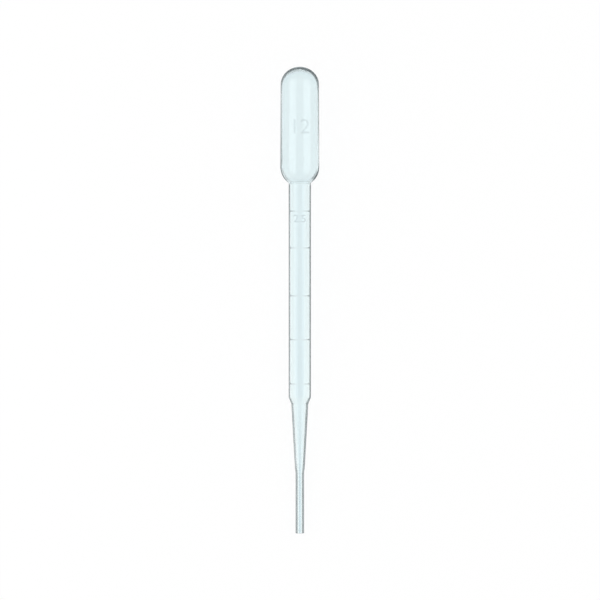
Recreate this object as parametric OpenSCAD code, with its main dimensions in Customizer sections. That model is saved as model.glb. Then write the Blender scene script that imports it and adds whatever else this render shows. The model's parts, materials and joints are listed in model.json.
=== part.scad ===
// Transfer pipette: a squeeze bulb, a graduated stem and a drawn-out tip, blown as one hollow
// piece of soft polythene. It lies as it rests on a flat surface at z = 0, on the wide end of
// its bulb and the foot of its stem, with the bulb towards +Y and the graduations upwards.
// Outlines are [radius, height] points, and heights run up the pipette from the cut tip.

/* [Overall] */
// Length from the cut tip to the end of the bulb
total_l = 155; // [120:0.5:190]

/* [Bulb] */
// Length of the bulb, from the foot of its lower rounding to its end
bulb_l = 38.4; // [30:0.1:48]
// Diameter at the top of the lower rounding
bulb_d = 12.82; // [10.5:0.02:15.6]
// Diameter under the dome
bulb_top_d = 12.56; // [10.5:0.02:15.6]
// Height of the dome
dome_h = 5.85; // [4:0.05:8]
// Radius of the lower rounding
rounding_r = 6.6; // [5.5:0.1:8.2]
// Radius of the hollow where the rounding runs into the stem
neck_r = 0.4; // [0.3:0.1:1.5]
// Wall at the bulb's sides
bulb_wall = 0.45; // [0.3:0.05:0.7]
// Wall at the end of the dome
dome_wall = 0.95; // [0.5:0.05:1.4]
// Wall at the lower rounding
rounding_wall = 0.55; // [0.45:0.05:1.1]

/* [Stem] */
// Outside diameter
stem_d = 7.24; // [6:0.02:8.8]
// Wall
stem_wall = 0.45; // [0.35:0.05:0.7]
// Height of the stem's foot above the cut tip
foot_s = 45.3; // [36:0.1:55]
// Height of the step under the foot
step_h = 2.2; // [1.6:0.1:3]
// Rounding of the step's two bends
step_r = 1.2; // [0.5:0.1:1.6]

/* [Tip] */
// Length of the parallel tip
tip_l = 20; // [14:0.5:26]
// Outside diameter of the parallel tip
tip_d = 2.82; // [2.2:0.02:3.4]
// Diameter of the hole through the tip
tip_bore = 1.45; // [1:0.05:1.8]
// Outside diameter of the taper at its wide end
taper_d = 5.46; // [4.4:0.02:5.8]
// Height of the flare where the tip opens into the taper
flare_h = 1.3; // [0.8:0.1:3]
// How much the flare adds to the tip's radius
flare_out = 0.13; // [0.05:0.01:0.3]
// Wall at the wide end of the taper
taper_wall = 0.65; // [0.4:0.05:0.9]

/* [Graduations] */
// Heights of the five rings, as shares of the stem's length above its foot
ring_shares = [0.065, 0.271, 0.475, 0.698, 0.869];
// How far a ring stands out
ring_h = 0.14; // [0.08:0.01:0.2]
// Width of a ring
ring_w = 0.5; // [0.35:0.05:0.6]
// How far a ring runs round the front
ring_span = 130; // [60:5:160]

/* [Mould seam] */
// How far the seam stands out
seam_h = 0.06; // [0.04:0.01:0.12]
// Width of the seam
seam_w = 0.3; // [0.2:0.05:0.5]

/* [Hidden] */

ARC_STEPS = 8;
CUT = 1; // how far a cutting solid runs past what it cuts

bulb_r = bulb_d / 2;
dome_r = bulb_top_d / 2;
stem_r = stem_d / 2;
tip_r = tip_d / 2;
taper_r = taper_d / 2;
stem_bore_r = stem_r - stem_wall;
bulb_foot_s = total_l - bulb_l;
stem_l = bulb_foot_s - foot_s;
dome_s = total_l - dome_h;

// The lower rounding is one circle: it leaves the stem's radius at the bulb's foot, and runs
// into the bulb's side at the height wide_s.
rounding_x = bulb_r - rounding_r;
wide_s = bulb_foot_s + sqrt(pow(rounding_r, 2) - pow(stem_r - rounding_x, 2));

// At rest the pipette touches the surface at one end of the bulb's side, and at the stem's foot
// or the tip's end, whichever of each reaches lower, so its axis rises towards the bulb.
bulb_ends = [[bulb_r, wide_s], [dome_r, dome_s]];
rest_tilt = min([for (low = [[stem_r, foot_s], [tip_r, 0]])
    max([for (high = bulb_ends) atan((high[0] - low[0]) / (high[1] - low[1]))])]);
rest_z = max([for (high = bulb_ends) high[0] * cos(rest_tilt) - high[1] * sin(rest_tilt)]);
y_low = -tip_r * sin(rest_tilt);
y_high = dome_s * cos(rest_tilt) + norm([dome_h * cos(rest_tilt), dome_r * sin(rest_tilt)]);
rest_y = -(y_low + y_high) / 2;

function unit(v) = v / norm(v);

// Points of an arc about a centre, from angle a0 to angle a1; an ellipse if ry is given.
function arc(centre, rx, a0, a1, ry = undef) =
    [for (i = [0:ARC_STEPS])
        let (a = a0 + (a1 - a0) * i / ARC_STEPS, r2 = is_undef(ry) ? rx : ry)
        centre + [rx * cos(a), r2 * sin(a)]];

// The bend of a line at point b, between points a and c, rounded to radius r.
function bend(a, b, c, r) =
    let (
        u = unit(a - b),
        v = unit(c - b),
        half = acos(u * v) / 2,
        centre = b + unit(u + v) * r / sin(half),
        from = b + u * r / tan(half) - centre,
        to = b + v * r / tan(half) - centre,
        a0 = atan2(from[1], from[0]),
        turn = atan2(from[0] * to[1] - from[1] * to[0], from * to)
    )
    arc(centre, r, a0, a0 + turn);

// The neck, where the stem's radius r opens into the lower rounding: the hollow's circle
// touches the stem's line and a circle of radius big about [rounding_x, s].
function neck(r, hollow, big, s) =
    let (
        x = r + hollow,
        y = s - sqrt(pow(big + hollow, 2) - pow(x - rounding_x, 2)),
        meet = atan2(s - y, rounding_x - x)
    )
    concat(
        arc([x, y], hollow, 180, meet),
        arc([rounding_x, s], big, meet - 180, 0)
    );

// Outer outline of tip, taper and step, grown by g above the tip.
function tip_outline(g = 0) =
    let (
        start = [tip_r, 0],
        flare = [tip_r, tip_l],
        taper = [tip_r + flare_out + g, tip_l + flare_h],
        step = [taper_r + g, foot_s - step_h],
        foot = [stem_r + g, foot_s],
        stem = [stem_r + g, bulb_foot_s]
    )
    concat(
        [start],
        bend(start, flare, taper, flare_h / 2),
        bend(flare, taper, step, flare_h / 2),
        bend(taper, step, foot, step_r),
        bend(step, foot, stem, step_r)
    );

// Outer outline of the neck and the bulb, grown by g.
function bulb_outline(g = 0) =
    concat(
        neck(stem_r + g, neck_r - g, rounding_r + g, wide_s),
        arc([0, dome_s], dome_r + g, 0, 90, dome_h + g)
    );

// Outline of the hollow, which opens at the cut tip and ends under the dome.
function hollow_outline() =
    let (
        mouth = [tip_bore / 2, -CUT],
        throat = [tip_bore / 2, tip_l],
        step = [taper_r - taper_wall, foot_s - step_h],
        foot = [stem_bore_r, foot_s],
        stem = [stem_bore_r, bulb_foot_s]
    )
    concat(
        [[0, -CUT], mouth],
        bend(mouth, throat, step, flare_h),
        bend(throat, step, foot, step_r),
        bend(step, foot, stem, step_r),
        neck(stem_bore_r, neck_r, rounding_r - bulb_wall, wide_s + rounding_wall - bulb_wall),
        arc([0, dome_s], dome_r - bulb_wall, 0, 90, dome_h - dome_wall)
    );

module skin() {
    rotate_extrude($fn = 96) polygon(concat([[0, 0]], tip_outline(), bulb_outline()));
}

module hollow() {
    rotate_extrude($fn = 96) polygon(hollow_outline());
}

// The seam of the two mould halves: a low rib in the X plane along both sides and over the
// dome. It rises out of the skin where the tip ends.
module seam() {
    side = concat([for (p = tip_outline(seam_h)) if (p[1] > tip_l) p], bulb_outline(seam_h));
    other_side = [for (i = [len(side) - 1:-1:0]) [-side[i][0], side[i][1]]];
    rotate([90, 0, 0])
        linear_extrude(seam_w, center = true)
            polygon(concat([[0, tip_l]], side, other_side));
}

// One graduation: part of a ring round the front, which faces -Y before the pipette is laid.
module ring(s) {
    round_r = (pow(ring_w / 2, 2) + pow(ring_h, 2)) / (2 * ring_h);
    rotate([0, 0, -90 - ring_span / 2])
        rotate_extrude(angle = ring_span, $fn = 96)
            translate([stem_r + ring_h - round_r, s]) circle(round_r, $fn = 32);
}

module graduations() {
    for (share = ring_shares) ring(foot_s + share * stem_l);
}

module pipette() {
    color([0.87, 0.93, 0.95, 0.5])
        translate([0, rest_y, rest_z])
            rotate([rest_tilt - 90, 0, 0])
                difference() {
                    union() {
                        skin();
                        seam();
                        graduations();
                    }
                    hollow();
                }
}

pipette();
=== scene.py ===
"""A soft plastic dropper pipette, lying on a pale floor and seen from straight above.

Outlines are [radius, height] points in millimetres, and heights run up the pipette from its cut
tip, before it is laid down along +Y with its graduations upwards.
"""

import json
import math

import bpy
import numpy as np
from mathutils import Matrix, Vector


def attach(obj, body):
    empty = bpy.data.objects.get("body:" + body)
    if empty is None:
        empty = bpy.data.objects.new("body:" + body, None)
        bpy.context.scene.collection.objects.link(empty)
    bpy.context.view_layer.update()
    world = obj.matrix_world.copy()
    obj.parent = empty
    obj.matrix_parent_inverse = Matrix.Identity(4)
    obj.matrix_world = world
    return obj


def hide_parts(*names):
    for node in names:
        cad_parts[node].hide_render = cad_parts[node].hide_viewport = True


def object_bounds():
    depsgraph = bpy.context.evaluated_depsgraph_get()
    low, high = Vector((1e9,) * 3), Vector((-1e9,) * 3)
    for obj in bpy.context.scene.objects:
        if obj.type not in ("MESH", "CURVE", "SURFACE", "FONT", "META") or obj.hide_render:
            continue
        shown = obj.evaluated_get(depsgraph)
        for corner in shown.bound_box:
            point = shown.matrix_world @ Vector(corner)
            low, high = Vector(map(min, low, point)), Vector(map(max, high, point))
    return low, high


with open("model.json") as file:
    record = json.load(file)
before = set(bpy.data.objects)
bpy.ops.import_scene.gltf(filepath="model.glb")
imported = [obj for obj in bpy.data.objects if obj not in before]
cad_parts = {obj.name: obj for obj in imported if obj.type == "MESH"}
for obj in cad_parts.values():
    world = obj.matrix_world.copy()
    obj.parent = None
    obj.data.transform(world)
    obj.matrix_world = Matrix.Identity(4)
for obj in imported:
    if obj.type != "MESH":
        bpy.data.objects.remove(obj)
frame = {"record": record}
cad_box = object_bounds()

MM = 0.001

# ---------------------------------------------------------------- sizes, in millimetres
MOUNTS = {mount["name"]: mount for mount in frame["record"]["mounts"]}
TIP_R = MOUNTS["tip"]["dims"]["r_mm"]
STEM_R = MOUNTS["stem"]["dims"]["r_mm"]
TOWARDS_TIP = Vector(MOUNTS["tip"]["axis"]).normalized()
TIP_MIDDLE = Vector(MOUNTS["tip"]["pos_m"])

TOTAL_L = 155.0
BULB_L = 38.4
BULB_R = 6.41
DOME_R = 6.28
DOME_H = 5.85
ROUNDING_R = 6.6
NECK_R = 0.4
BULB_WALL = 0.45
DOME_WALL = 0.95
ROUNDING_WALL = 0.55
STEM_WALL = 0.45
FOOT_S = 45.3
STEP_H = 2.2
STEP_R = 1.2
TIP_L = 20.0
TIP_BORE_R = 0.725
TIP_EDGE = 0.08  # rounding of the cut end's edges
TAPER_R = 2.73
TAPER_WALL = 0.65
FLARE_H = 1.3
FLARE_OUT = 0.13

RING_SHARES = (0.065, 0.271, 0.475, 0.698, 0.869)
RING_H = 0.14
RING_W = 0.5
RING_SPAN = math.radians(130)
RING_FADE = math.radians(7)  # over which a ring dies out at either end
SEAM_H = 0.06

BULB_FOOT_S = TOTAL_L - BULB_L
STEM_BORE_R = STEM_R - STEM_WALL
DOME_S = TOTAL_L - DOME_H
ROUNDING_X = BULB_R - ROUNDING_R
WIDE_S = BULB_FOOT_S + math.sqrt(ROUNDING_R**2 - (STEM_R - ROUNDING_X) ** 2)
STEM_L = BULB_FOOT_S - FOOT_S
RING_HEIGHTS = [FOOT_S + share * STEM_L for share in RING_SHARES]

# Raised numbers: the words, the height of their middle, their size and how far they stand out.
NUMBERS = (
    ("2.5", RING_HEIGHTS[4] - 2.6, 3.6, 0.08),
    ("12", 135.0, 7.0, 0.05),
)
RAISED_FULL = RING_H  # what stands out this far gets the full painted shade of a raised part
RING_MIDDLE = 0.1  # how much of that painted shade a ring keeps in the middle of the stem; it grows towards the sides
NUMBER_DEPTH = 0.2  # how far a number reaches into the wall before it is joined to it
LETTER_DEPTH = 0.6  # how deep its letters are before they are cut, as a share of the radius

ARC_STEPS = 10  # the fewest in an arc
ARC_STEP = 0.33  # the longest in a large arc
SPIN_STEPS = 160  # round the pipette
PUSH_LAYERS = 10  # steps in the height of what is pushed out
LONG_RISE = 0.2  # a stretch that rises less gets no points at the heights of WALLS
NEAR_END = 0.01  # the share of a stretch at either end that gets none
HELD_END = 0.1  # how far a point that holds the shading lies from a long stretch's end
HELD_STRETCH = 4 * HELD_END  # the shortest stretch that gets such points
HELD_BEND = math.radians(0.3)  # the least bend at its end that needs one
SMOOTH_ANGLE = math.radians(40)  # sharper edges stay sharp
TOUCH = 0.001  # places nearer than this are taken as one

# What counts as the outer skin, and as its front.
OUTER_DEPTH = 0.2  # how far it may lie under skin_radius, because of the bends
OUTER_SHARE = 0.97  # the least share of the dome's size that it may have
FRONT_START = 0.2  # how far forward of the axis it begins to get the painted shade of a raised part

# ---------------------------------------------------------------- finish and painted shade
# How the wall shows at each height up the pipette: its painted shade, its painted dark edge and
# its waves. Facing is 0 square on and 1 edge on.
WALL_COLUMNS = (
    "edge_start", "edge_dark", "middle_end", "middle_shade", "side_shade", "wave", "lean"
)
WALLS = (
    # height, (facing where the painted dark edge starts, its depth, facing where the middle ends,
    # the middle's painted shade, the side's painted shade, how wavy the skin is, how much deeper
    # and wider the painted dark edge is towards +X)
    (0, (0.14, 0.65, 0.055, 1.0, 0.0, 0.2, 0.03)),
    (20, (0.14, 0.63, 0.055, 1.0, 0.0, 0.2, 0.03)),
    (24, (0.26, 0.55, 0.15, 0.46, 0.0, 0.3, 0.22)),
    (30, (0.295, 0.58, 0.17, 0.44, 0.0, 0.4, 0.15)),
    (43, (0.365, 0.54, 0.2, 0.4, 0.0, 0.5, 0.16)),
    (46, (0.535, 0.6, 0.11, 0.55, 0.02, 0.8, 0.1)),
    (104, (0.535, 0.6, 0.11, 0.55, 0.02, 0.8, 0.1)),
    (115.9, (0.535, 0.66, 0.11, 0.55, 0.02, 0.8, 0.0)),
    (116.4, (0.7, 0.0, 0.2, 0.4, 0.36, 0.8, 0.04)),
    (117.3, (0.7, 0.1, 0.2, 0.5, 0.54, 1.0, 0.0)),
    (118, (0.65, 0.98, 0.2, 0.42, 0.42, 1.0, 0.15)),
    (119, (0.64, 1.0, 0.2, 0.42, 0.27, 1.0, 0.2)),
    (121, (0.68, 0.75, 0.2, 0.35, 0.35, 1.0, 0.0)),
    (122.4, (0.67, 0.43, 0.2, 0.34, 0.34, 1.0, -0.25)),
    (124, (0.66, 0.27, 0.2, 0.33, 0.33, 1.0, -0.6)),
    (128, (0.66, 0.31, 0.2, 0.33, 0.33, 1.0, -0.4)),
    (134, (0.66, 0.42, 0.2, 0.33, 0.33, 1.0, -0.1)),
    (146, (0.66, 0.36, 0.2, 0.33, 0.33, 0.9, 0.1)),
    (149, (0.58, 0.54, 0.3, 0.33, 0.49, 0.5, 0.1)),
    (151, (0.53, 0.78, 0.35, 0.33, 0.72, 0.3, 0.1)),
    (155, (0.53, 0.75, 0.35, 0.33, 0.72, 0.3, 0.1)),
)
PAINTED_EDGE_RISE = (0.91, 1.15)  # the painted dark edge comes in between these shares of the facing where it starts
SHADE_LEAN_START = 0.2  # how far sooner the painted dark edge starts on its darker painted side, as a share of the lean of that painted shade
MIDDLE_FALL = 0.4  # the middle's shade falls off from this share of the facing where it ends
RAISED_PAINTED_EDGE = (0.28, 0.5)  # where the painted dark edge of a ring or number starts, and its depth

CLEAR_TINT = (0.974, 0.999, 1.0)
SHADE_TINT = (0.9, 0.942, 0.955)
# painted shade on raised rings and numbers, darker towards the sides of a ring
RAISED_SHADE_TINT = (0.66, 0.7, 0.72)
# the painted dark edge: shade painted where the wall is seen edge on
PAINTED_EDGE_TINT = (0.05, 0.06, 0.06)
POLYTHENE_IOR = 1.51
POLYTHENE_ROUGHNESS = 0.08
MILK = (0.8, 0.9, 0.93)
MILK_SHARE = (0.03, 0.15)  # in the clear wall and in its painted dark edge
MILK_GLOW = 0.5  # how much of the milk's light goes through it
PASS_TINT = (0.96, 0.98, 0.985)  # of the lamps' light through the clear wall
PASS_EDGE_TINT = (0.7, 0.75, 0.76)  # and through its painted dark edge
WAVE_SCALE = (420, 45, 420)  # waves to a metre: many across the pipette and few along it
WAVE_DETAIL = 2.0
WAVE_HEIGHT = 0.06  # in millimetres

WHITE_SHARE = 0.8  # how much of the floor shows as plain white
FLOOR_PAINT = (0.95, 0.95, 0.95)

# ---------------------------------------------------------------- stage, in metres and watts
FLOOR_SIZE = 12
WORLD_LIGHT = 0.8
LAMP_W = 0.46
LAMP_L = 0.9
LAMP_DISTANCE = 0.55
LAMP_ANGLE = math.radians(46)  # off upright
LAMP_POWER = {"lamp_left": 0.87, "lamp_right": 0.75}

LENS = 200  # in millimetres, as the sensor is
SENSOR_W = 36
CLIP = (0.01, 20)
FIELD_RATIO = 1.286  # the field's width as a share of the pipette's length
FIELD_HEIGHT = 5 * MM  # the field's height above the floor, about that of the axis
CAMERA_SHIFT = Vector((0.06, 0.2, 0)) * MM  # from straight above the middle


# ---------------------------------------------------------------- outline
def arc(centre, rx, start, end, ry=None):
    """Points of an arc about centre, from one angle to another; an ellipse if ry is given."""
    ry = rx if ry is None else ry
    steps = max(ARC_STEPS, math.ceil(abs(end - start) * rx / ARC_STEP))
    turns = [start + (end - start) * i / steps for i in range(steps + 1)]
    return [Vector((centre[0] + rx * math.cos(a), centre[1] + ry * math.sin(a))) for a in turns]


def bend(before, corner, after, radius):
    """The bend of a line at corner, between before and after, rounded to radius."""
    before, corner, after = Vector(before), Vector(corner), Vector(after)
    u = (before - corner).normalized()
    v = (after - corner).normalized()
    half = math.acos(u.dot(v)) / 2
    centre = corner + (u + v).normalized() * radius / math.sin(half)
    first = corner + u * radius / math.tan(half) - centre
    last = corner + v * radius / math.tan(half) - centre
    start = math.atan2(first.y, first.x)
    turn = math.atan2(first.x * last.y - first.y * last.x, first.dot(last))
    return arc(centre, radius, start, start + turn)


def neck(radius, hollow, big, height):
    """From a line at radius, by a hollow bend, into a circle of radius big: the lower rounding."""
    x = radius + hollow
    y = height - math.sqrt((big + hollow) ** 2 - (x - ROUNDING_X) ** 2)
    meet = math.atan2(height - y, ROUNDING_X - x)
    return arc((x, y), hollow, math.pi, meet) + arc((ROUNDING_X, height), big, meet - math.pi, 0)


def ring_rows():
    """The five rows of points that shape each graduation ring, and one more on either side."""
    return [Vector((STEM_R, s + RING_W / 4 * row)) for s in RING_HEIGHTS for row in range(-3, 4)]


def with_wall_heights(outline):
    """Adds a point wherever the outline passes a height of WALLS, which its painted shade, painted
    dark edge and waves need.
    """
    points = outline[:1]
    for here, there in zip(outline, outline[1:]):
        rise = there.y - here.y
        shares = [(height - here.y) / rise for height, _ in WALLS if rise > LONG_RISE]
        points += [here.lerp(there, share) for share in shares if NEAR_END < share < 1 - NEAR_END]
        points.append(there)
    return points


def with_held_ends(outline):
    """Adds a point near each end of a long straight stretch that starts or ends in a bend, so
    that smooth shading rounds the bend alone and leaves the stretch straight."""
    points = outline[:1]
    for i, (here, there) in enumerate(zip(outline, outline[1:])):
        along = there - here
        before = here - outline[i - 1] if i else along
        after = outline[i + 2] - there if i + 2 < len(outline) else along
        share = HELD_END / along.length if along.length > HELD_STRETCH else 0
        if share and before.length and along.angle(before) > HELD_BEND:
            points.append(here.lerp(there, share))
        if share and after.length and along.angle(after) > HELD_BEND:
            points.append(here.lerp(there, 1 - share))
        points.append(there)
    return points


def outer_outline():
    """From the cut tip up the outside to the top of the dome."""
    start = (TIP_R, 0)
    flare = (TIP_R, TIP_L)
    taper = (TIP_R + FLARE_OUT, TIP_L + FLARE_H)
    step = (TAPER_R, FOOT_S - STEP_H)
    foot = (STEM_R, FOOT_S)
    stem = (STEM_R, BULB_FOOT_S)
    return with_wall_heights(
        bend((TIP_BORE_R, 0), start, flare, TIP_EDGE)
        + bend(start, flare, taper, FLARE_H / 2)
        + bend(flare, taper, step, FLARE_H / 2)
        + bend(taper, step, foot, STEP_R)
        + bend(step, foot, stem, STEP_R)
        + ring_rows()
        + neck(STEM_R, NECK_R, ROUNDING_R, WIDE_S)
        + arc((0, DOME_S), DOME_R, 0, math.pi / 2, DOME_H)
    )


def hollow_outline():
    """From the cut tip up the inside to the top of the hollow."""
    mouth = (TIP_BORE_R, 0)
    throat = (TIP_BORE_R, TIP_L)
    step = (TAPER_R - TAPER_WALL, FOOT_S - STEP_H)
    foot = (STEM_BORE_R, FOOT_S)
    stem = (STEM_BORE_R, BULB_FOOT_S)
    low = WIDE_S + ROUNDING_WALL - BULB_WALL
    return (
        bend((TIP_R, 0), mouth, throat, TIP_EDGE)
        + bend(mouth, throat, step, FLARE_H)
        + bend(throat, step, foot, STEP_R)
        + bend(step, foot, stem, STEP_R)
        + neck(STEM_BORE_R, NECK_R + STEM_WALL, ROUNDING_R - BULB_WALL, low)
        + arc((0, DOME_S), DOME_R - BULB_WALL, 0, math.pi / 2, DOME_H - DOME_WALL)
    )


def skin_radius(heights):
    """The outer radius at each height from the tip to the foot of the dome, without its bends."""
    line = [(TIP_R, 0), (TIP_R, TIP_L), (TAPER_R, FOOT_S - STEP_H), (STEM_R, FOOT_S),
            (STEM_R, BULB_FOOT_S), (BULB_R, WIDE_S), (DOME_R, DOME_S)]
    return np.interp(heights, [point[1] for point in line], [point[0] for point in line])


# ---------------------------------------------------------------- modelling helpers
def deselect():
    """Leaves no object selected."""
    for obj in bpy.context.selected_objects:
        obj.select_set(False)


def select_points(obj, chosen):
    """In edit mode, leaves only the vertices of these indices selected."""
    bpy.ops.object.mode_set(mode="OBJECT")
    flags = np.zeros(len(obj.data.vertices), bool)
    flags[chosen] = True
    obj.data.vertices.foreach_set("select", flags)
    obj.data.edges.foreach_set("select", np.zeros(len(obj.data.edges), bool))
    obj.data.polygons.foreach_set("select", np.zeros(len(obj.data.polygons), bool))
    bpy.ops.object.mode_set(mode="EDIT")
    bpy.context.tool_settings.mesh_select_mode = (True, False, False)


def points_of(obj):
    """Vertex places in millimetres, one row each."""
    flat = np.zeros(len(obj.data.vertices) * 3)
    obj.data.vertices.foreach_get("co", flat)
    return flat.reshape(-1, 3) / MM


def turned(name, outline):
    """A closed skin turned about Z. The outline ends where it starts, or both ends on the axis."""
    places = [Vector((radius * MM, 0, height * MM)) for radius, height in outline]
    deselect()
    bpy.ops.mesh.primitive_plane_add(size=MM, location=places[0])
    piece = bpy.context.object
    piece.name = name
    bpy.ops.object.transform_apply(location=True)
    bpy.ops.object.mode_set(mode="EDIT")
    bpy.ops.mesh.merge(type="CENTER")
    for here, there in zip(places, places[1:]):
        bpy.ops.mesh.extrude_region_move(TRANSFORM_OT_translate={"value": there - here})
    bpy.ops.mesh.select_all(action="SELECT")
    bpy.ops.mesh.spin(steps=SPIN_STEPS, angle=2 * math.pi, center=(0, 0, 0), axis=(0, 0, 1))
    bpy.ops.mesh.select_all(action="SELECT")
    bpy.ops.mesh.remove_doubles(threshold=TOUCH * MM)
    bpy.ops.mesh.normals_make_consistent(inside=False)
    bpy.ops.object.mode_set(mode="OBJECT")
    return piece


def combine(piece, other, operation):
    """Joins other to piece, or keeps what both hold, and removes other."""
    deselect()
    piece.select_set(True)
    bpy.context.view_layer.objects.active = piece
    step = piece.modifiers.new("combine", "BOOLEAN")
    step.operation = operation
    step.solver = "EXACT"
    step.object = other
    bpy.ops.object.modifier_apply(modifier=step.name)
    bpy.data.objects.remove(other)


def push_out(piece, shares, height):
    """Moves each vertex out along its normal by its share of height, to the nearest layer."""
    levels = np.round(shares * PUSH_LAYERS).astype(int)
    for level in range(1, PUSH_LAYERS + 1):
        chosen = np.nonzero(levels == level)[0]
        if len(chosen):
            select_points(piece, chosen)
            bpy.ops.transform.shrink_fatten(value=height * MM * level / PUSH_LAYERS)
    bpy.ops.object.mode_set(mode="OBJECT")


def is_outside(places):
    """True for each vertex of the outer skin."""
    radius = np.hypot(places[:, 0], places[:, 1])
    height = places[:, 2]
    dome = np.hypot(radius / DOME_R, (height - DOME_S) / DOME_H)
    side = radius > skin_radius(height) - OUTER_DEPTH
    return np.where(height > DOME_S, dome > OUTER_SHARE, side)


# ---------------------------------------------------------------- the pipette
def add_rings(piece):
    """Raises the graduations round the front, which faces -Y before the pipette is laid."""
    places = points_of(piece)
    off = np.min(np.abs(places[:, 2][:, None] - np.array(RING_HEIGHTS)[None, :]), axis=1)
    bump = np.cos(np.clip(off / RING_W, 0, 0.5) * math.pi) ** 2
    round_front = np.abs(np.arctan2(places[:, 0], -places[:, 1]))
    fade = np.clip((RING_SPAN / 2 - round_front) / RING_FADE, 0, 1)
    push_out(piece, bump * fade * is_outside(places), RING_H)


def add_seam(piece):
    """Raises the mould seam along both sides and over the dome."""
    places = points_of(piece)
    on_plane = np.abs(places[:, 1]) < TOUCH
    above_tip = places[:, 2] > TIP_L + FLARE_H
    push_out(piece, (on_plane & above_tip & is_outside(places)).astype(float), SEAM_H)


def add_number(piece, words, middle, size, relief):
    """Raises a number on the front: its letters, cut to a band that follows the wall."""
    low, high = middle - size, middle + size
    inner = [skin_radius(s) - NUMBER_DEPTH for s in (low, high)]
    outer = [skin_radius(s) + relief for s in (low, high)]
    corners = [(inner[0], low), (outer[0], low), (outer[1], high), (inner[1], high)]
    band = turned("band", corners + corners[:1])
    deselect()
    front = -skin_radius(middle) * MM
    bpy.ops.object.text_add(location=(0, front, middle * MM), rotation=(math.pi / 2, 0, 0))
    letters = bpy.context.object
    letters.data.body = words
    letters.data.size = size * MM
    letters.data.align_x = "CENTER"
    letters.data.align_y = "CENTER"
    letters.data.extrude = skin_radius(middle) * LETTER_DEPTH * MM
    bpy.ops.object.convert(target="MESH")
    bpy.ops.object.transform_apply(location=True, rotation=True, scale=True)
    combine(letters, band, "INTERSECT")
    combine(piece, letters, "UNION")


def note(piece, name, values):
    """Stores a number on each vertex of the piece, for its material."""
    attribute = piece.data.attributes.new(name, "FLOAT", "POINT")
    attribute.data.foreach_set("value", values)


def note_walls(piece):
    """Stores the painted shade, the painted dark edge and the waves on each vertex of the outer
    skin, and the painted shade of what stands out from it.
    """
    places = points_of(piece)
    outside = is_outside(places)
    height = places[:, 2]
    rows = dict(zip(WALL_COLUMNS, zip(*(row for _, row in WALLS))))
    walls = {name: np.interp(height, [at for at, _ in WALLS], rows[name]) for name in rows}
    # painted shade: the dark edge is painted deeper on one side than the other, as light falls
    # unevenly from the two sides
    lean = walls.pop("lean") * places[:, 0] / skin_radius(height)
    walls["edge_start"] -= lean * SHADE_LEAN_START
    walls["edge_dark"] = np.clip(walls["edge_dark"] * (1 + lean), 0, 1)
    # painted shade on raised rings and numbers on the front, with a painted dark edge of its own
    proud = np.hypot(places[:, 0], places[:, 1]) - skin_radius(height)
    on_stem = (height > FOOT_S + STEP_R) & (height < BULB_FOOT_S - NECK_R)
    on_bulb = (height > WIDE_S) & (height < DOME_S)
    may_rise = outside & (on_stem | on_bulb) & (places[:, 1] < -FRONT_START)
    raised = np.clip(proud / RAISED_FULL, 0, 1) * may_rise
    # a ring's painted shade fades towards the middle of the stem
    off = np.min(np.abs(height[:, None] - np.array(RING_HEIGHTS)[None, :]), axis=1)
    across = np.abs(places[:, 0]) / STEM_R
    raised *= np.where(off < RING_W, RING_MIDDLE + (1 - RING_MIDDLE) * across, 1)
    walls["edge_start"] += (RAISED_PAINTED_EDGE[0] - walls["edge_start"]) * raised
    walls["edge_dark"] += (RAISED_PAINTED_EDGE[1] - walls["edge_dark"]) * raised
    walls["edge_dark"] *= outside
    for name, values in walls.items():
        note(piece, name, values)
    note(piece, "raised", raised)


def lay_down(piece):
    """Turns the upright piece on to its resting line, graduations up, and applies its place."""
    rise = math.atan2(-TOWARDS_TIP.z, -TOWARDS_TIP.y)
    piece.rotation_euler = (rise - math.pi / 2, 0, 0)
    piece.location = TIP_MIDDLE + TOWARDS_TIP * (TIP_L / 2) * MM
    deselect()
    piece.select_set(True)
    bpy.context.view_layer.objects.active = piece
    bpy.ops.object.transform_apply(location=True, rotation=True, scale=True)


def make_pipette():
    """The whole skin: down the outside, over the cut tip and up the hollow, then turned."""
    outline = outer_outline()[::-1] + hollow_outline()
    piece = turned("pipette_skin", with_held_ends(outline))
    add_rings(piece)
    add_seam(piece)
    for number in NUMBERS:
        add_number(piece, *number)
    note_walls(piece)
    deselect()
    piece.select_set(True)
    bpy.context.view_layer.objects.active = piece
    bpy.ops.object.shade_smooth_by_angle(angle=SMOOTH_ANGLE)
    lay_down(piece)
    return piece


# ---------------------------------------------------------------- material helpers
def new_material(name):
    """A material with no nodes yet, and its nodes and links."""
    material = bpy.data.materials.new(name)
    material.use_nodes = True
    nodes = material.node_tree.nodes
    nodes.clear()
    return material, nodes, material.node_tree.links


def math_node(nodes, links, operation, first, second):
    """A Math node; each input is a socket or a number."""
    node = nodes.new("ShaderNodeMath")
    node.operation = operation
    for slot, value in enumerate((first, second)):
        if isinstance(value, (int, float)):
            node.inputs[slot].default_value = value
        else:
            links.new(value, node.inputs[slot])
    return node.outputs[0]


def smooth_step(nodes, links, value, low, high, to_low=0.0, to_high=1.0):
    """Runs smoothly from to_low to to_high as value goes from low to high."""
    node = nodes.new("ShaderNodeMapRange")
    node.interpolation_type = "SMOOTHSTEP"
    node.inputs["From Min"].default_value = low
    node.inputs["From Max"].default_value = high
    node.inputs["To Min"].default_value = to_low
    node.inputs["To Max"].default_value = to_high
    links.new(value, node.inputs["Value"])
    return node.outputs["Result"]


def attribute(nodes, name):
    """What note() stored on the piece under this name."""
    node = nodes.new("ShaderNodeAttribute")
    node.attribute_name = name
    return node.outputs["Fac"]


def mix_colours(nodes, links, share, first, second):
    """A Mix node; first and second are each a socket or a colour."""
    node = nodes.new("ShaderNodeMix")
    node.data_type = "RGBA"
    for slot, value in (("A", first), ("B", second)):
        if isinstance(value, tuple):
            node.inputs[slot].default_value = (*value, 1)
        else:
            links.new(value, node.inputs[slot])
    links.new(share, node.inputs["Factor"])
    return node.outputs["Result"]


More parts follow.
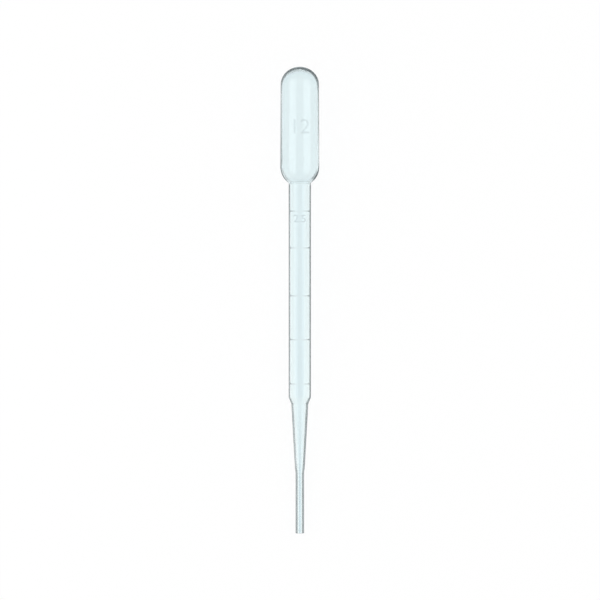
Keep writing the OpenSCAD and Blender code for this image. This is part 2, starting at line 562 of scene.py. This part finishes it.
def mix_numbers(nodes, links, share, first, second):
    """A Mix node between two sockets that each hold a number."""
    node = nodes.new("ShaderNodeMix")
    links.new(share, node.inputs["Factor"])
    links.new(first, node.inputs["A"])
    links.new(second, node.inputs["B"])
    return node.outputs["Result"]


def mix_shaders(nodes, links, share, first, second):
    """A Mix Shader node; share is a socket or a number."""
    node = nodes.new("ShaderNodeMixShader")
    if isinstance(share, float):
        node.inputs[0].default_value = share
    else:
        links.new(share, node.inputs[0])
    links.new(first, node.inputs[1])
    links.new(second, node.inputs[2])
    return node.outputs[0]


def facing(nodes):
    """From 0 where the surface is seen square on to 1 where it is seen edge on."""
    node = nodes.new("ShaderNodeLayerWeight")
    node.inputs["Blend"].default_value = 0.5  # leaves it as 1 less the cosine of the angle
    return node.outputs["Facing"]


def seen_directly(nodes, links):
    """1 for camera, glossy and transmission rays, 0 for the rays that light surfaces."""
    path = nodes.new("ShaderNodeLightPath")
    first = math_node(
        nodes, links, "MAXIMUM", path.outputs["Is Camera Ray"], path.outputs["Is Glossy Ray"]
    )
    return math_node(nodes, links, "MAXIMUM", first, path.outputs["Is Transmission Ray"])


# ---------------------------------------------------------------- materials
def waves(nodes, links):
    """Faint flow lines along the pipette, as a normal."""
    place = nodes.new("ShaderNodeTexCoord")
    stretch = nodes.new("ShaderNodeMapping")
    stretch.inputs["Scale"].default_value = WAVE_SCALE
    links.new(place.outputs["Object"], stretch.inputs["Vector"])
    noise = nodes.new("ShaderNodeTexNoise")
    noise.inputs["Scale"].default_value = 1.0
    noise.inputs["Detail"].default_value = WAVE_DETAIL
    links.new(stretch.outputs["Vector"], noise.inputs["Vector"])
    bump = nodes.new("ShaderNodeBump")
    bump.inputs["Strength"].default_value = 1.0
    bump.inputs["Distance"].default_value = WAVE_HEIGHT * MM
    height = math_node(nodes, links, "MULTIPLY", noise.outputs["Fac"], attribute(nodes, "wave"))
    links.new(height, bump.inputs["Height"])
    return bump.outputs["Normal"]


def polythene():
    """Natural polythene: clear with a cool tint and a little milky, with painted shade across the
    wall and on raised marks, and a painted dark edge where the wall is seen edge on.
    """
    material, nodes, links = new_material("natural_polythene")
    out = nodes.new("ShaderNodeOutputMaterial")
    # painted dark edge: darker where the wall is seen edge on, on rays that enter it, as deep as
    # noted on the skin
    face = facing(nodes)
    outwards = math_node(nodes, links, "DIVIDE", face, attribute(nodes, "edge_start"))
    rise = smooth_step(nodes, links, outwards, *PAINTED_EDGE_RISE)
    surface = nodes.new("ShaderNodeNewGeometry")
    entering = math_node(nodes, links, "SUBTRACT", 1.0, surface.outputs["Backfacing"])
    depth = math_node(nodes, links, "MULTIPLY", attribute(nodes, "edge_dark"), entering)
    painted_edge = math_node(nodes, links, "MULTIPLY", rise, depth)
    # painted shade across the wall, in its middle and at its sides, and on raised rings and
    # numbers
    across = math_node(nodes, links, "DIVIDE", face, attribute(nodes, "middle_end"))
    side = smooth_step(nodes, links, across, MIDDLE_FALL, 1.0)
    shade = mix_numbers(
        nodes, links, side, attribute(nodes, "middle_shade"), attribute(nodes, "side_shade")
    )
    tint = mix_colours(nodes, links, shade, CLEAR_TINT, SHADE_TINT)
    tint = mix_colours(nodes, links, attribute(nodes, "raised"), tint, RAISED_SHADE_TINT)

    clear = nodes.new("ShaderNodeBsdfGlass")
    clear.inputs["Roughness"].default_value = POLYTHENE_ROUGHNESS
    clear.inputs["IOR"].default_value = POLYTHENE_IOR
    links.new(mix_colours(nodes, links, painted_edge, tint, PAINTED_EDGE_TINT), clear.inputs["Color"])
    links.new(waves(nodes, links), clear.inputs["Normal"])

    milk = nodes.new("ShaderNodeBsdfDiffuse")
    milk.inputs["Color"].default_value = (*MILK, 1)
    glow = nodes.new("ShaderNodeBsdfTranslucent")
    glow.inputs["Color"].default_value = (*MILK, 1)
    milky = mix_shaders(nodes, links, MILK_GLOW, milk.outputs[0], glow.outputs[0])
    # the milky share rises along the painted dark edge
    cloud = smooth_step(nodes, links, painted_edge, 0, 1, *MILK_SHARE)
    body = mix_shaders(nodes, links, cloud, clear.outputs[0], milky)

    path = nodes.new("ShaderNodeLightPath")
    lamp_ray = math_node(
        nodes, links, "MAXIMUM", path.outputs["Is Shadow Ray"], path.outputs["Is Diffuse Ray"]
    )
    let_through = nodes.new("ShaderNodeBsdfTransparent")
    passed = mix_colours(nodes, links, painted_edge, PASS_TINT, PASS_EDGE_TINT)
    links.new(passed, let_through.inputs["Color"])
    wall = mix_shaders(nodes, links, lamp_ray, body, let_through.outputs[0])
    links.new(wall, out.inputs["Surface"])
    return material


def floor_material():
    """Pale paint, most of which shows as plain white, so that only a faint shadow is left."""
    material, nodes, links = new_material("pale_floor")
    out = nodes.new("ShaderNodeOutputMaterial")
    paint = nodes.new("ShaderNodeBsdfDiffuse")
    paint.inputs["Color"].default_value = (*FLOOR_PAINT, 1)
    white = nodes.new("ShaderNodeEmission")
    white.inputs["Strength"].default_value = 1.0
    shown = math_node(nodes, links, "MULTIPLY", seen_directly(nodes, links), WHITE_SHARE)
    surface = mix_shaders(nodes, links, shown, paint.outputs[0], white.outputs[0])
    links.new(surface, out.inputs["Surface"])
    return material


# ---------------------------------------------------------------- stage
def make_floor():
    """A wide pale floor, at the height that the pipette lies on."""
    deselect()
    bpy.ops.mesh.primitive_plane_add(size=FLOOR_SIZE, location=(0, 0, 0))
    floor = bpy.context.object
    floor.name = "floor"
    floor.data.materials.append(floor_material())


def make_world():
    """Even light from all round, and plain white where it is seen."""
    world = bpy.data.worlds.new("studio")
    bpy.context.scene.world = world
    world.use_nodes = True
    nodes, links = world.node_tree.nodes, world.node_tree.links
    nodes.clear()
    out = nodes.new("ShaderNodeOutputWorld")
    lighting = nodes.new("ShaderNodeBackground")
    lighting.inputs["Strength"].default_value = WORLD_LIGHT
    lighting.inputs["Color"].default_value = (1, 1, 1, 1)
    shown = nodes.new("ShaderNodeBackground")
    shown.inputs["Strength"].default_value = 1.0
    shown.inputs["Color"].default_value = (1, 1, 1, 1)
    seen = seen_directly(nodes, links)
    surroundings = mix_shaders(nodes, links, seen, lighting.outputs[0], shown.outputs[0])
    links.new(surroundings, out.inputs["Surface"])


def make_lamp(name, side):
    """A long soft lamp above one side of the pipette, turned towards it."""
    lamp = bpy.data.lights.new(name, "AREA")
    lamp.shape = "RECTANGLE"
    lamp.size = LAMP_W
    lamp.size_y = LAMP_L
    lamp.energy = LAMP_POWER[name]
    holder = bpy.data.objects.new(name, lamp)
    bpy.context.scene.collection.objects.link(holder)
    across, up = math.sin(LAMP_ANGLE), math.cos(LAMP_ANGLE)
    holder.location = (side * LAMP_DISTANCE * across, 0, LAMP_DISTANCE * up)
    holder.rotation_euler = (0, side * LAMP_ANGLE, 0)


def make_camera():
    """Looks straight down with the bulb at the top; the field is a little wider than the part."""
    camera = bpy.data.cameras.new("camera")
    camera.lens = LENS
    camera.sensor_width = SENSOR_W
    camera.clip_start, camera.clip_end = CLIP
    holder = bpy.data.objects.new("camera", camera)
    bpy.context.scene.collection.objects.link(holder)
    low, high = cad_box
    field = (high.y - low.y) * FIELD_RATIO
    holder.location = (low + high) / 2 + CAMERA_SHIFT
    holder.location.z = field * LENS / SENSOR_W + FIELD_HEIGHT
    bpy.context.scene.camera = holder


bpy.context.scene.view_settings.view_transform = "Standard"
make_camera()
make_world()
make_floor()
make_lamp("lamp_left", -1)
make_lamp("lamp_right", 1)

pipette = make_pipette()
pipette.data.materials.append(polythene())
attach(pipette, "root")
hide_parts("pipette")
